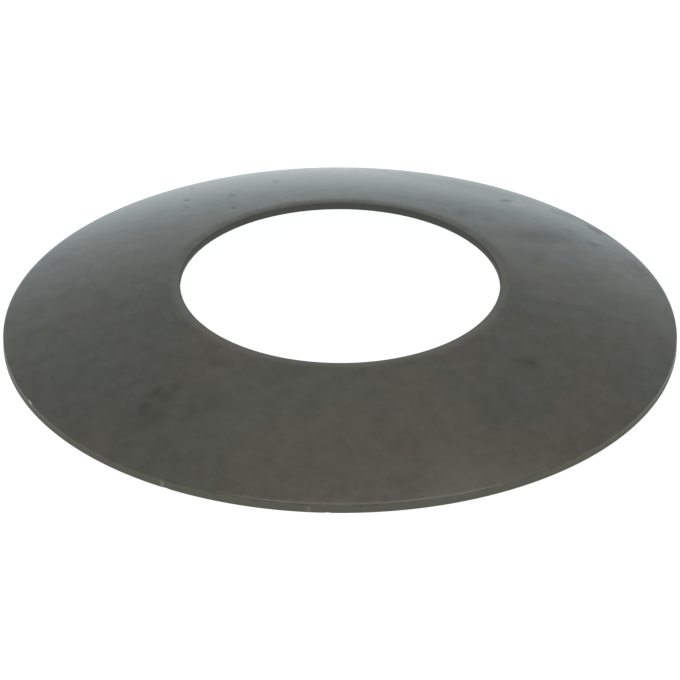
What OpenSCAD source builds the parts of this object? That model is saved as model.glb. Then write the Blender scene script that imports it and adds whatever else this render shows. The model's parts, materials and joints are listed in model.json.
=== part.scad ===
// Spherical washer: a thrust washer pressed from steel sheet into a shallow dish.
// Its convex and concave faces are concentric spheres, so it stays one thickness from bore to rim.
// The axis is Z and the convex face looks up. The rim stands on a narrow flat land at Z = 0.

/* [Washer] */
// Outer diameter across the rim
outer_d = 85; // [70:0.5:110]
// Diameter of the bore
bore_d = 40.2; // [20:0.1:60]
// Radius of the convex spherical face
convex_r = 102; // [80:0.5:200]
// Sheet thickness, square to the spherical faces
sheet_t = 1.1; // [0.9:0.05:2.5]

/* [Edges of the convex face] */
// Angle that the face rolls over towards each edge, in degrees
roll_angle = 11; // [5:1:20]
// Radius of the wide roll beside the rim
rim_roll_r = 2.5; // [1:0.5:6]
// Radius of the tight edge between that roll and the rim
rim_edge_r = 0.12; // [0.05:0.01:0.4]
// Radius of the wide roll beside the bore
bore_roll_r = 7.5; // [2:0.5:10]
// Radius of the tight edge between that roll and the bore
bore_edge_r = 0.3; // [0.1:0.05:0.4]

/* [Edges of the concave face] */
// Radius of the broken edge between the bore and the concave face
bore_break_r = 0.12; // [0.05:0.01:0.2]
// Width that the concave face gives up at the rim to stand flat
land_w = 0.25; // [0.15:0.05:0.5]
// Radius of the broken edge at the foot of the rim
foot_r = 0.1; // [0.05:0.01:0.14]

/* [Hidden] */
$fn = 256;

outer_r = outer_d / 2;
bore_r = bore_d / 2;
concave_r = convex_r - sheet_t;

// The section is drawn about the spheres' centre: X is the distance from the axis, Y the height.
// Each round reaches this far past the curve that it runs into, so the two cross at one clean edge.
round_bite = 0.001;

// Directions in the section: to a wall, straight down, and at an angle from the axis towards the rim
to_rim = [1, 0];
to_bore = [-1, 0];
down = [0, -1];
function lean(angle) = [sin(angle), cos(angle)];

// Height of a circle of radius r about the spheres' centre, at x from the axis
function arc_y(r, x) = sqrt(r * r - x * x);

// The land is where the concave face, coming down to the rim, is cut off flat
land_y = arc_y(concave_r, outer_r - land_w);

// Lean of the convex face where a wide roll starts. The roll turns by turn, and the tight edge that
// ends it has its centre at x, one edge radius from the wall: the sum of two sines, solved for the angle.
function roll_lean(roll_r, edge_r, turn, x) =
    let (a = convex_r - roll_r + round_bite)
    let (b = roll_r - edge_r + round_bite)
    let (across = a + b * cos(turn))
    let (along = b * sin(turn))
    asin(x / norm([across, along])) - atan2(along, across);

// Centres of the wide roll and of the tight edge that follows it
function roll_at(roll_r, start) = (convex_r - roll_r + round_bite) * lean(start);
function edge_at(roll_r, edge_r, start, turn) =
    roll_at(roll_r, start) + (roll_r - edge_r + round_bite) * lean(start + turn);

// Waste outside one round: the wedge at its centre from direction a to direction b, less the round.
// It reaches one sheet thickness past the round, beyond the corner that the round takes off.
module round_waste(at, r, a, b) {
    reach = r + sheet_t;
    translate(at)
        difference() {
            polygon([[0, 0], reach * a, reach * (a + b), reach * b]);
            circle(r = r);
        }
}

// Waste at one edge of the convex face: outside the wide roll, then outside the tight edge at the wall
module rolled_edge_waste(roll_r, edge_r, turn, x, wall) {
    start = roll_lean(roll_r, edge_r, turn, x);
    round_waste(roll_at(roll_r, start), roll_r, lean(start), wall);
    round_waste(edge_at(roll_r, edge_r, start, turn), edge_r, lean(start + turn), wall);
}

// Waste at the broken edge between the bore and the concave face
module bore_break_waste() {
    x = bore_r + bore_break_r;
    at = [x, arc_y(concave_r + bore_break_r - round_bite, x)];
    round_waste(at, bore_break_r, to_bore, -at / norm(at));
}

// Waste at the broken edge at the foot of the rim
module foot_waste() {
    at = [outer_r - foot_r, land_y + foot_r - round_bite];
    round_waste(at, foot_r, to_rim, down);
}

// Band between the two spherical faces, from the bore out to the rim and down to the land
module band_section()
    intersection() {
        difference() {
            circle(r = convex_r);
            circle(r = concave_r);
        }
        translate([bore_r, land_y])
            square([outer_r - bore_r, convex_r - land_y]);
    }

// Whole section: the band, less the waste at its four edges
module washer_section()
    difference() {
        band_section();
        rolled_edge_waste(rim_roll_r, rim_edge_r, roll_angle, outer_r - rim_edge_r, to_rim);
        rolled_edge_waste(bore_roll_r, bore_edge_r, -roll_angle, bore_r + bore_edge_r, to_bore);
        bore_break_waste();
        foot_waste();
    }

// The whole washer is one pressed piece
module spherical_washer()
    color([0.33, 0.33, 0.30])
        translate([0, 0, -land_y])
            rotate_extrude()
                washer_section();

spherical_washer();
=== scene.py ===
import json
import math
from collections import namedtuple

import bpy
import numpy as np
from mathutils import Matrix, Vector, noise


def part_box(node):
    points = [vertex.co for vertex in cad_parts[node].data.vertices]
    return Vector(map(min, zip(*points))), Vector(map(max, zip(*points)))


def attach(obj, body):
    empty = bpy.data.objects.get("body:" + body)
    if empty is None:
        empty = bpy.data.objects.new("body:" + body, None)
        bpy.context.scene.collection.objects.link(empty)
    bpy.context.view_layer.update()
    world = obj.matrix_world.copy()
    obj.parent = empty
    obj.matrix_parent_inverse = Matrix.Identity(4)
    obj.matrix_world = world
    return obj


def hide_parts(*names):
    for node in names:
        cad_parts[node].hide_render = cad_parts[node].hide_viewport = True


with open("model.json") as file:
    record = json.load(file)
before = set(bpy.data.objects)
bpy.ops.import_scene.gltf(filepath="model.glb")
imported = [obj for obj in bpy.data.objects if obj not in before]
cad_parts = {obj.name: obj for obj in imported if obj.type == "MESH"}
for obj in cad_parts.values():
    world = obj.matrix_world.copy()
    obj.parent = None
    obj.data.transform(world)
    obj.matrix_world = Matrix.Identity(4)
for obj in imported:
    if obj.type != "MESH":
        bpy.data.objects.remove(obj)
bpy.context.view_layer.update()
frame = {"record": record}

NODE = "spherical_washer"
MM = 0.001
RIGHT_ANGLE = math.pi / 2
FULL_TURN = 2 * math.pi

# Sizes of the section, as the solid has them
OUTER_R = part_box(NODE)[1][0]
BORE_R = next(m for m in frame["record"]["mounts"] if m["name"] == "bore")["dims"]["r_mm"] * MM
CONVEX_R = 102 * MM
SHEET_T = 1.1 * MM
ROLL_ANGLE = math.radians(11)
RIM_ROLL_R = 2.5 * MM
RIM_EDGE_R = 0.12 * MM
BORE_ROLL_R = 7.5 * MM
BORE_EDGE_R = 0.3 * MM
BORE_BREAK_R = 0.12 * MM
LAND_W = 0.25 * MM
FOOT_R = 0.1 * MM
CONCAVE_R = CONVEX_R - SHEET_T
LAND_Y = math.sqrt(CONCAVE_R**2 - (OUTER_R - LAND_W) ** 2)

# Steps of the mesh round the axis, and along each stretch of the section
TURN_STEPS = 1080
STEPS = {
    "bore_break": 4,
    "bore_wall": 4,
    "bore_edge": 7,
    "bore_roll": 5,
    "face": 22,
    "rim_roll": 4,
    "rim_edge": 4,
    "rim_wall": 5,
    "foot": 4,
    "back": 12,
}

# Points of the tight bore edge that are as dull as the wall below it, and as dark with its painted shade
DULL_EDGE_POINTS = 5

# Torn steel of the sheared walls: its depth and grain, and the fractal noise that shapes it
TEAR_DEPTH = 0.025 * MM
TEAR_GRAIN = 0.5 * MM
TEAR_FALL_OFF = 1
TEAR_FREQUENCY_STEP = 2
TEAR_OCTAVES = 3

# Handling nicks in the rim: angle in degrees, width and depth in mm, and the part of the rim
Nick = namedtuple("Nick", "angle width depth place")
NICKS = [
    Nick(205, 0.9, 0.10, "top"),
    Nick(240, 0.6, 0.10, "foot"),
    Nick(268, 0.5, 0.13, "foot"),
    Nick(239.3, 0.4, 0.025, "wall"),
    Nick(264.9, 0.4, 0.015, "wall"),
]

# Depth of a nick that lays the steel quite bare
BARE_DEPTH = 0.06 * MM

# Marks on the convex face: angle in degrees, distance from the axis and half-lengths along and across
# the radius in mm, turn from the radius in degrees, and how much darker the mark is (or lighter, below 0)
Mark = namedtuple("Mark", "angle radius along across turn dark")
MARKS_AND_PAINTED_SHADE = [
    # Smear, streaks and rubbed patches on the far right, and a broad band of painted shade over the far
    # rim
    Mark(32, 30.5, 7, 4.2, -4, 0.09),
    Mark(31.5, 28, 2.4, 1.8, 10, 0.05),
    Mark(33, 32, 2.2, 1.6, 0, 0.05),
    Mark(35.6, 35.8, 1.6, 1.4, 0, 0.07),
    Mark(29.2, 37.1, 1.4, 1.3, 0, 0.08),
    Mark(45.6, 39.7, 0.9, 1.2, 0, 0.10),
    Mark(18.8, 26.5, 2.0, 1.6, 0, 0.03),
    Mark(15.4, 36.5, 1.4, 1.2, 0, 0.04),
    Mark(51, 25, 2.4, 1.6, 20, 0.08),
    Mark(53, 35.5, 1.8, 0.9, 0, 0.20),
    # Broad band darker over the far right rim: painted shade that dims the far rim's grazing reflection,
    # partly also a dull patch of the coat
    Mark(66, 39, 6, 17, 0, 0.135),
    Mark(44, 40.5, 1.5, 3.5, 0, 0.10),
    Mark(21, 40.6, 1.5, 3.5, 0, 0.09),
    Mark(37.3, 41.1, 1.0, 2.7, 0, 0.21),
    Mark(36, 42.3, 0.7, 4.0, 0, 0.32),
    Mark(43, 42.1, 0.8, 4.0, 0, 0.30),
    Mark(56, 42.4, 0.6, 4.0, 0, 0.20),
    Mark(50, 35.7, 1.4, 1.0, 0, -0.08),
    Mark(52.5, 38, 1.2, 0.6, 20, -0.10),
    Mark(31, 38.5, 1.2, 1.0, 0, -0.08),
    # Specks on the far left
    Mark(105, 32.6, 1.3, 0.55, 0, 0.17),
    Mark(118.2, 29.5, 1.0, 0.45, 5, 0.2),
    Mark(124.2, 24.45, 0.7, 0.35, 0, 0.28),
    Mark(126.1, 33.55, 1.0, 0.4, 0, 0.28),
    Mark(129.9, 30.7, 0.9, 0.4, 0, 0.18),
    Mark(119.6, 38.9, 1.0, 0.4, 0, 0.2),
    # Faint worn line on the left
    Mark(192, 37.5, 0.3, 1.5, -6, 0.12),
    Mark(196.5, 37.6, 0.3, 1.3, -10, 0.14),
    Mark(202.5, 38.7, 0.3, 1.0, -15, 0.10),
    # Broken smear on the near left
    Mark(225, 31.8, 1.7, 1.3, 20, 0.15),
    Mark(227.8, 32, 1.5, 1.1, -10, 0.14),
    Mark(226, 34.6, 1.7, 1.2, 25, 0.17),
    Mark(229.5, 34.8, 1.7, 1.5, 0, 0.11),
    Mark(227.5, 29.8, 1.3, 0.9, 20, 0.09),
    Mark(228, 33, 5.5, 3.4, 0, 0.06),
    Mark(226, 36.8, 3.5, 3.2, 0, 0.07),
    Mark(236, 32.4, 1.2, 1.0, 0, 0.08),
    Mark(238.6, 30.3, 2.6, 1.8, 0, 0.09),
    Mark(229, 39.9, 1.2, 0.8, 0, 0.09),
    Mark(231, 24, 1.5, 2.0, 0, 0.07),
    # Smudge and faint cloud on the near right
    Mark(324, 28.4, 2.6, 1.3, 37, 0.10),
    Mark(321.8, 27.4, 0.9, 0.8, 0, 0.09),
    Mark(325.2, 29.2, 0.9, 0.8, 0, 0.12),
    Mark(283.5, 33.5, 3.0, 4.5, 0, 0.07),
]

# Broad brownish area beside the near rim
WARM_AREA = Mark(266, 36.5, 9, 15, 0, 0)

# Distance, in half-lengths, at which a mark has faded out
MARK_FADE = 1.2

# How far the outlines of the marks are ragged
RAGGED_REACH = 1.0 * MM

# Noise of the ragged outlines, and of the coat's blotches, mottling and finest grain
Grain = namedtuple("Grain", "size detail roughness")
RAGGED_GRAIN = Grain(1.1 * MM, 5, 0.7)
BLOTCH_GRAIN = Grain(12 * MM, 3, 0.6)
MOTTLE_GRAIN = Grain(2.2 * MM, 5, 0.65)
FINE_GRAIN = Grain(0.3 * MM, 2, 0.6)

# Phosphate coat: its cool and warm colours, and the tint of its reflections at grazing angles
COOL_COAT = (0.0888, 0.0882, 0.0736, 1)
WARM_COAT = (0.0962, 0.0880, 0.0708, 1)
GRAZING_TINT = (0.886, 0.953, 0.97, 1)

# Blotches turn warm over this range of their noise, up to a share
WARM_RANGE = (0.42, 0.66)
WARM_SHARE = (0, 0.8)

# Range of noise that is spread over the coat's ranges of shade, shine and roughness
NOISE_RANGE = (0.3, 0.7)
MOTTLE_SHADE = (0.93, 1.07)
FINE_SHADE = (0.98, 1.02)
MOTTLE_SHINE = (0.96, 1.04)
SATIN_ROUGHNESS = (0.17, 0.23)

# Sheared walls: colours, and how metallic, glossy and rough their dull scale is
# Bore wall colour: dull sheared scale, darkened further by painted shade that stands in for the shaded
# floor it reflects under the dish
BORE_WALL_SCALE_AND_SHADE_COLOR = (0.073, 0.073, 0.0635, 1)
RIM_WALL_COLOR = (0.100, 0.098, 0.076, 1)
WALL_METALLIC = 0.02
WALL_GLOSS = 0.05
WALL_EXTRA_ROUGHNESS = 0.3

# Rim edges are rubbed in patches over this range of the mottling, and bare steel shows in the nicks
WORN_RANGE = (0.35, 0.65)
WORN_SHARE = (0.1, 0.6)
WORN_COLOR = (0.12, 0.118, 0.1, 1)
BARE_COLOR = (0.33, 0.32, 0.29, 1)

# Fine relief of the coat
BUMP_STRENGTH = 0.035
BUMP_DISTANCE = 0.01 * MM

# Colour sockets of the Mix node, whose names its other sockets share
MIX_A = 6
MIX_B = 7
MIX_RESULT = 2

# Pale floor, just below the washer, that glows as a light table does
FLOOR_SIZE = 6
FLOOR_Z = -0.02 * MM
FLOOR_COLOR = (0.06, 0.06, 0.06, 1)
FLOOR_GLOW_COLOR = (0.97, 1, 1, 1)
FLOOR_GLOW = 1.02

# Camera: angle above the floor, roll about its own axis, point that it aims at and distance from it,
# then the sensor's width and the focal length in mm, and how far it sees in metres
CAMERA_ELEVATION = math.radians(30.2058)
CAMERA_ROLL = math.radians(0.112)
CAMERA_AIM = Vector((-0.0039 * MM, 0, -0.3876 * MM))
CAMERA_DISTANCE = 950 * MM
CAMERA_SENSOR = 36
CAMERA_LENS = 398.23
CAMERA_CLIP_END = 50

# Even light of the tent round the washer
TENT_COLOR = (0.975, 1, 1.03, 1)
TENT_STRENGTH = 0.88

# Softboxes: direction from the washer, distance and size in metres, radiance added to the tent's, colour
Softbox = namedtuple("Softbox", "name toward distance width depth radiance color")
NEUTRAL = (1, 1, 1)
WARM = (1, 0.8, 0.8)
SOFTBOXES = [
    Softbox("overhead_softbox", (0, 0.2, 1), 0.6, 0.36, 0.5, 0.09, NEUTRAL),
    Softbox("zenith_glow", (0.44, 0.07, 1), 0.5, 0.2, 0.22, 0.3, NEUTRAL),
    Softbox("zenith_strip", (0.1, -0.1, 1), 0.5, 0.43, 0.11, 0.7, NEUTRAL),
    Softbox("back_strip", (0, 0.79, 0.62), 1.0, 0.36, 0.32, 0.26, NEUTRAL),
    Softbox("left_fill", (-0.17, 0.95, 0.2), 1.0, 0.3, 0.36, 0.115, WARM),
    Softbox("right_fill", (0.27, 0.93, 0.25), 1.0, 0.3, 0.36, 0.1, WARM),
]


def lean(angle):
    """Direction in the section, at an angle from the axis towards the rim."""
    return np.array([math.sin(angle), math.cos(angle)])


def arc(centre, radius, start, end, steps):
    """Points on an arc of the section, from one lean to another, ends included."""
    return [centre + radius * lean(a) for a in np.linspace(start, end, steps + 1)]


def inside(start, end, steps):
    """Points that divide a straight stretch of the section, ends left out."""
    return [start + (end - start) * t for t in np.linspace(0, 1, steps + 1)[1:-1]]


def rolled_edge(roll_r, edge_r, turn, x):
    """Lean where a wide roll leaves the convex face, then the centres of roll and tight edge."""
    a = CONVEX_R - roll_r
    b = roll_r - edge_r
    across = a + b * math.cos(turn)
    along = b * math.sin(turn)
    start = math.asin(x / math.hypot(across, along)) - math.atan2(along, across)
    roll_at = a * lean(start)
    return start, roll_at, roll_at + b * lean(start + turn)


def bore_stretches():
    """Broken edge, tight edge and wide roll of the bore, and the leans where the two faces start."""
    face_lean, roll_at, edge_at = rolled_edge(
        BORE_ROLL_R, BORE_EDGE_R, -ROLL_ANGLE, BORE_R + BORE_EDGE_R
    )
    break_x = BORE_R + BORE_BREAK_R
    break_at = np.array([break_x, math.sqrt((CONCAVE_R + BORE_BREAK_R) ** 2 - break_x**2)])
    back_lean = math.atan2(break_at[0], break_at[1])
    roll_end = face_lean - ROLL_ANGLE
    broken = arc(break_at, BORE_BREAK_R, back_lean - math.pi, -RIGHT_ANGLE, STEPS["bore_break"])
    edge = arc(edge_at, BORE_EDGE_R, -RIGHT_ANGLE, roll_end, STEPS["bore_edge"])
    roll = arc(roll_at, BORE_ROLL_R, roll_end, face_lean, STEPS["bore_roll"])
    return broken, edge, roll, face_lean, back_lean


def rim_stretches():
    """Wide roll, tight edge and foot of the rim, and the leans where the two faces end."""
    face_lean, roll_at, edge_at = rolled_edge(RIM_ROLL_R, RIM_EDGE_R, ROLL_ANGLE, OUTER_R - RIM_EDGE_R)
    foot_at = np.array([OUTER_R - FOOT_R, LAND_Y + FOOT_R])
    back_lean = math.asin((OUTER_R - LAND_W) / CONCAVE_R)
    roll_end = face_lean + ROLL_ANGLE
    roll = arc(roll_at, RIM_ROLL_R, face_lean, roll_end, STEPS["rim_roll"])
    edge = arc(edge_at, RIM_EDGE_R, roll_end, RIGHT_ANGLE, STEPS["rim_edge"])
    foot = arc(foot_at, FOOT_R, RIGHT_ANGLE, math.pi, STEPS["foot"])
    return roll, edge, foot, face_lean, back_lean


def section():
    """Outline of the section about the spheres' centre: zones and their points, from the bore round."""
    broken, bore_edge, bore_roll, face_start, back_end = bore_stretches()
    rim_roll, rim_edge, foot, face_end, back_start = rim_stretches()
    bore_wall = inside(broken[-1], bore_edge[0], STEPS["bore_wall"])
    face = arc(np.zeros(2), CONVEX_R, face_start, face_end, STEPS["face"])
    rim_wall = inside(rim_edge[-1], foot[0], STEPS["rim_wall"])
    back = arc(np.zeros(2), CONCAVE_R, back_start, back_end, STEPS["back"])
    return [
        ("bore_wall", broken + bore_wall + bore_edge[:DULL_EDGE_POINTS]),
        ("face", bore_edge[DULL_EDGE_POINTS:] + bore_roll[1:] + face[1:] + rim_roll[1:-1]),
        ("edge", rim_edge),
        ("rim_wall", rim_wall + [foot[0]]),
        ("edge", foot[1:]),
        ("back", back[:-1]),
    ]


def tear(point, zone):
    """How far a sheared wall is torn back at a point, in metres."""
    if not zone.endswith("wall"):
        return 0
    rough = noise.fractal(point / TEAR_GRAIN, TEAR_FALL_OFF, TEAR_FREQUENCY_STEP, TEAR_OCTAVES)
    return TEAR_DEPTH * (0.5 + 0.5 * rough)


def rim_place(zone, z):
    """Part of the rim that a point of the outline lies on, or None away from the rim."""
    if zone == "rim_wall":
        return "wall"
    if zone == "edge":
        return "foot" if z < 0.5 * SHEET_T else "top"
    return None


def nick_depth(angle, place):
    """How far the nicks push one part of the rim in, at an angle."""
    depth = 0
    for nick in NICKS:
        if nick.place == place:
            away = OUTER_R * math.remainder(angle - math.radians(nick.angle), FULL_TURN)
            depth += nick.depth * MM * math.exp(-((2 * away / (nick.width * MM)) ** 2))
    return depth


def washer_points(outline):
    """Points of the washer, ring by ring, and how far the nicks have laid each one bare."""
    points = []
    bare = []
    for angle in np.linspace(0, FULL_TURN, TURN_STEPS, endpoint=False):
        out = Vector((math.cos(angle), math.sin(angle), 0))
        for r, z, zone in outline:
            nick = nick_depth(angle, rim_place(zone, z))
            cut = nick + tear(r * out + Vector((0, 0, z)), zone)
            side = 1 if zone == "bore_wall" else -1
            points.append((r + side * cut) * out + Vector((0, 0, z)))
            bare.append(min(1, nick / BARE_DEPTH))
    return points, bare


def washer_faces(n):
    """Quads between neighbouring rings of n points, closed round the axis and round the section."""
    faces = []
    for i in range(TURN_STEPS):
        here = i * n
        there = (i + 1) % TURN_STEPS * n
        for k in range(n):
            m = (k + 1) % n
            faces.append((here + k, here + m, there + m, there + k))
    return faces


def set_attribute(mesh, name, values):
    """A number for each point of a mesh, for its material to read."""
    mesh.attributes.new(name, "FLOAT", "POINT").data.foreach_set("value", values)


def make_washer():
    """The section turned round the axis, with its sheared walls, nicks and material."""
    outline = [(p[0], p[1] - LAND_Y, zone) for zone, points in section() for p in points]
    points, bare = washer_points(outline)
    mesh = bpy.data.meshes.new("washer_body")
    mesh.from_pydata(points, [], washer_faces(len(outline)))
    mesh.shade_smooth()
    set_attribute(mesh, "bare", bare)
    for name in ("edge", "bore_wall", "rim_wall", "back"):
        ring = [float(zone == name) for _, _, zone in outline]
        set_attribute(mesh, name, np.tile(ring, TURN_STEPS))
    mesh.materials.append(steel_material())
    washer = bpy.data.objects.new("washer_body", mesh)
    bpy.context.collection.objects.link(washer)
    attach(washer, "root")
    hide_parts(NODE)


class Shader:
    """Short ways to add nodes to a material."""

    def __init__(self, material):
        self.tree = material.node_tree
        self.bsdf = self.tree.nodes["Principled BSDF"]

    def add(self, kind, **settings):
        """New node with some of its settings."""
        made = self.tree.nodes.new(kind)
        for name, value in settings.items():
            setattr(made, name, value)
        return made

    def feed(self, socket, value):
        """Link a socket, or set a plain value."""
        if isinstance(value, bpy.types.NodeSocket):
            self.tree.links.new(value, socket)
        else:
            socket.default_value = value

    def noise(self, coords, grain, output="Fac"):
        """Noise whose features are about one grain across."""
        made = self.add("ShaderNodeTexNoise")
        self.feed(made.inputs["Vector"], coords)
        made.inputs["Scale"].default_value = 1 / grain.size
        made.inputs["Detail"].default_value = grain.detail
        made.inputs["Roughness"].default_value = grain.roughness
        return made.outputs[output]

    def ramp(self, value, low, high, to_low, to_high):
        """Smooth step of a value from one range to another."""
        made = self.add("ShaderNodeMapRange", interpolation_type="SMOOTHSTEP")
        self.feed(made.inputs["Value"], value)
        self.feed(made.inputs["From Min"], low)
        self.feed(made.inputs["From Max"], high)
        self.feed(made.inputs["To Min"], to_low)
        self.feed(made.inputs["To Max"], to_high)
        return made.outputs["Result"]

    def math(self, operation, a, b):
        """Sum, product or other combination of two numbers."""
        made = self.add("ShaderNodeMath", operation=operation)
        self.feed(made.inputs[0], a)
        self.feed(made.inputs[1], b)
        return made.outputs[0]

    def vector(self, operation, *values):
        """Combination of vectors, or the length of one."""
        made = self.add("ShaderNodeVectorMath", operation=operation)
        for socket, value in zip(made.inputs, values):
            self.feed(socket, value)
        return made.outputs["Value" if operation == "LENGTH" else "Vector"]

    def mix(self, factor, a, b, blend="MIX"):
        """Mix of two colours."""
        made = self.add("ShaderNodeMix", data_type="RGBA", blend_type=blend)
        self.feed(made.inputs["Factor"], factor)
        self.feed(made.inputs[MIX_A], a)
        self.feed(made.inputs[MIX_B], b)
        return made.outputs[MIX_RESULT]

    def attribute(self, name):
        """Number that the mesh holds at each point."""
        return self.add("ShaderNodeAttribute", attribute_name=name).outputs["Fac"]


def patch(s, coords, mark):
    """Soft mask of one mark, 1 at its middle."""
    angle = math.radians(mark.angle)
    radius = mark.radius * MM
    place = s.add("ShaderNodeMapping", vector_type="TEXTURE")
    s.feed(place.inputs["Vector"], coords)
    s.feed(place.inputs["Location"], (radius * math.cos(angle), radius * math.sin(angle), 0))
    s.feed(place.inputs["Rotation"], (0, 0, angle + math.radians(mark.turn)))
    s.feed(place.inputs["Scale"], (mark.along * MM, mark.across * MM, 1))
    away = s.vector("LENGTH", place.outputs["Vector"])
    return s.ramp(away, 0, MARK_FADE, 1, 0)


def ragged(s, coords):
    """Coordinates pushed about by fine noise, so that marks have ragged edges."""
    push = s.noise(coords, RAGGED_GRAIN, "Color")
    shift = s.vector("MULTIPLY_ADD", push, (RAGGED_REACH,) * 3, (-0.5 * RAGGED_REACH,) * 3)
    return s.vector("ADD", coords, shift)


def face_marks_and_painted_shade(s, coords):
    """Brightness of the face where smudges, streaks and scuffs lie on it, and where a band of painted
    shade dims the far rim.
    """
    coords = ragged(s, coords)
    brightness = 1
    for mark in MARKS_AND_PAINTED_SHADE:
        shade = s.ramp(patch(s, coords, mark), 0, 1, 1, 1 - mark.dark)
        brightness = s.math("MULTIPLY", brightness, shade)
    return brightness


def phosphate_coat(s, coords, mottle, fine):
    """Colour of the coat, with its patches, mottling, grain and marks, which tint its reflections too;
    one broad mark is painted shade that dims the far rim's grazing reflection.
    """
    blotch = s.noise(coords, BLOTCH_GRAIN)
    warm_blotch = s.ramp(blotch, *WARM_RANGE, *WARM_SHARE)
    warm = s.math("MAXIMUM", warm_blotch, patch(s, coords, WARM_AREA))
    coat = s.mix(warm, COOL_COAT, WARM_COAT)

    # The concave side has no marks
    marks = s.ramp(s.attribute("back"), 0, 1, face_marks_and_painted_shade(s, coords), 1)
    mottle_shade = s.ramp(mottle, *NOISE_RANGE, *MOTTLE_SHADE)
    fine_shade = s.ramp(fine, *NOISE_RANGE, *FINE_SHADE)
    uneven = s.math("MULTIPLY", mottle_shade, fine_shade)
    shine = s.math("MULTIPLY", marks, s.ramp(mottle, *NOISE_RANGE, *MOTTLE_SHINE))
    s.feed(s.bsdf.inputs["Specular Tint"], s.mix(1, GRAZING_TINT, shine, "MULTIPLY"))
    return s.mix(1, coat, s.math("MULTIPLY", marks, uneven), "MULTIPLY")


def sheared_walls(s, coat):
    """Coat with dull scale over the sheared walls, darker on the bore wall partly as painted shade, and
    the mask of those walls.
    """
    bore_wall = s.attribute("bore_wall")
    rim_wall = s.attribute("rim_wall")
    wall = s.math("ADD", bore_wall, rim_wall)
    # Bore wall colour, partly painted shade of the shaded floor under the dish
    coat = s.mix(bore_wall, coat, BORE_WALL_SCALE_AND_SHADE_COLOR)
    coat = s.mix(rim_wall, coat, RIM_WALL_COLOR)
    s.feed(s.bsdf.inputs["Metallic"], s.ramp(wall, 0, 1, 1, WALL_METALLIC))
    s.bsdf.inputs["Specular IOR Level"].default_value = WALL_GLOSS
    return coat, wall


def worn_edges(s, coat, mottle):
    """Coat rubbed in patches on the rim's edges, and gone in the nicks."""
    worn = s.math("MULTIPLY", s.attribute("edge"), s.ramp(mottle, *WORN_RANGE, *WORN_SHARE))
    coat = s.mix(worn, coat, WORN_COLOR)
    return s.mix(s.attribute("bare"), coat, BARE_COLOR)


def satin_surface(s, wall, mottle, fine):
    """Satin roughness, rougher on the sheared walls, and the fine relief of the coat."""
    satin = s.ramp(mottle, *NOISE_RANGE, *SATIN_ROUGHNESS)
    rougher = s.math("MULTIPLY", wall, WALL_EXTRA_ROUGHNESS)
    s.feed(s.bsdf.inputs["Roughness"], s.math("ADD", satin, rougher))
    bump = s.add("ShaderNodeBump")
    bump.inputs["Strength"].default_value = BUMP_STRENGTH
    bump.inputs["Distance"].default_value = BUMP_DISTANCE
    s.feed(bump.inputs["Height"], s.math("ADD", fine, mottle))
    s.feed(s.bsdf.inputs["Normal"], bump.outputs["Normal"])


def steel_material():
    """Dark phosphated steel, with dull sheared walls, rubbed edges and bare nicks."""
    mat = bpy.data.materials.new("dark_steel")
    mat.use_nodes = True
    s = Shader(mat)
    coords = s.add("ShaderNodeTexCoord").outputs["Object"]
    mottle = s.noise(coords, MOTTLE_GRAIN)
    fine = s.noise(coords, FINE_GRAIN)
    coat = phosphate_coat(s, coords, mottle, fine)
    coat, wall = sheared_walls(s, coat)
    s.feed(s.bsdf.inputs["Base Color"], worn_edges(s, coat, mottle))
    satin_surface(s, wall, mottle, fine)
    return mat


def make_floor():
    """Pale glowing floor under the washer."""
    bpy.ops.mesh.primitive_plane_add(size=FLOOR_SIZE, location=(0, 0, FLOOR_Z))
    floor = bpy.context.object
    floor.name = "floor"
    mat = bpy.data.materials.new("pale_floor")
    mat.use_nodes = True
    bsdf = mat.node_tree.nodes["Principled BSDF"]
    bsdf.inputs["Base Color"].default_value = FLOOR_COLOR
    bsdf.inputs["Roughness"].default_value = 1
    bsdf.inputs["Specular IOR Level"].default_value = 0
    bsdf.inputs["Emission Color"].default_value = FLOOR_GLOW_COLOR
    bsdf.inputs["Emission Strength"].default_value = FLOOR_GLOW
    floor.data.materials.append(mat)


def placed(axes, position):
    """Matrix of an object with its own three axes, at a position."""
    return Matrix.Translation(position) @ Matrix(axes).transposed().to_4x4()


def make_camera():
    """Camera at the photograph's viewing angle."""
    back = Vector((0, -math.cos(CAMERA_ELEVATION), math.sin(CAMERA_ELEVATION)))
    right = Vector((1, 0, 0))
    up = Vector((0, math.sin(CAMERA_ELEVATION), math.cos(CAMERA_ELEVATION)))
    x_axis = math.cos(CAMERA_ROLL) * right + math.sin(CAMERA_ROLL) * up
    y_axis = -math.sin(CAMERA_ROLL) * right + math.cos(CAMERA_ROLL) * up
    data = bpy.data.cameras.new("camera")
    data.sensor_width = CAMERA_SENSOR
    data.lens = CAMERA_LENS
    data.clip_end = CAMERA_CLIP_END
    camera = bpy.data.objects.new("camera", data)
    bpy.context.collection.objects.link(camera)
    camera.matrix_world = placed((x_axis, y_axis, back), CAMERA_AIM + CAMERA_DISTANCE * back)
    bpy.context.scene.camera = camera


def make_softbox(box):
    """Area light that faces the washer, of a set radiance."""
    data = bpy.data.lights.new(box.name, "AREA")
    data.shape = "RECTANGLE"
    data.size = box.width
    data.size_y = box.depth
    data.energy = box.radiance * math.pi * box.width * box.depth
    data.color = box.color
    light = bpy.data.objects.new(box.name, data)
    toward = Vector(box.toward).normalized()
    along = Vector((0, 1, 0)).cross(toward).normalized()
    light.matrix_world = placed((along, toward.cross(along), toward), box.distance * toward)
    bpy.context.collection.objects.link(light)


def make_light():
    """Even light tent and its softboxes."""
    world = bpy.data.worlds.new("light_tent")
    world.use_nodes = True
    background = world.node_tree.nodes["Background"]
    background.inputs["Color"].default_value = TENT_COLOR
    background.inputs["Strength"].default_value = TENT_STRENGTH
    bpy.context.scene.world = world
    bpy.context.scene.view_settings.view_transform = "Standard"
    for box in SOFTBOXES:
        make_softbox(box)


make_camera()
make_light()
make_floor()
make_washer()
